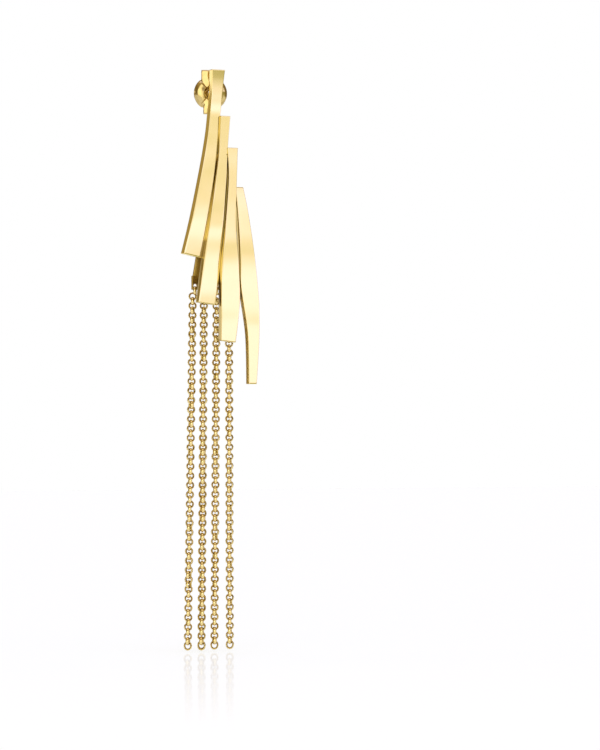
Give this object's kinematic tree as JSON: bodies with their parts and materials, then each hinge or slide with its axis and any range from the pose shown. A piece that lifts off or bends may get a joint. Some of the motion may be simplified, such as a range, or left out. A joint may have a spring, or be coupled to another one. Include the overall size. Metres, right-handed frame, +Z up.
{
  "type": "dangle earring",
  "caption": "Long gold drop earring: a leaning fan of tapered blades on a post with a butterfly nut, fine round-link chains hanging from a bridge behind.",
  "frame": {"origin": "on the ear post's axis, where the post leaves the back of the first blade and the ear lobe carries the earring", "axes": "+Z up, +Y from the earring's face back along the post through the ear, +X across to the side the fan steps down to"},
  "size_m": [0.0159, 0.0209, 0.1163],
  "materials": {
    "polished_gold": "polished yellow gold plate",
    "chain_gold": "polished yellow gold plate on round wire links"
  },
  "bodies": {
    "earring": {"blade_fan": "polished_gold", "chain_1": "chain_gold", "chain_2": "chain_gold", "chain_3": "chain_gold", "chain_4": "chain_gold", "chain_5": "chain_gold"},
    "ear_nut": {"ear_nut": "polished_gold"}
  },
  "joints": [
    {"name": "nut_slide", "type": "slide", "parent": "earring", "child": "ear_nut", "axis": [0, 1, 0], "range_m": [0, 0.0105]}
  ]
}
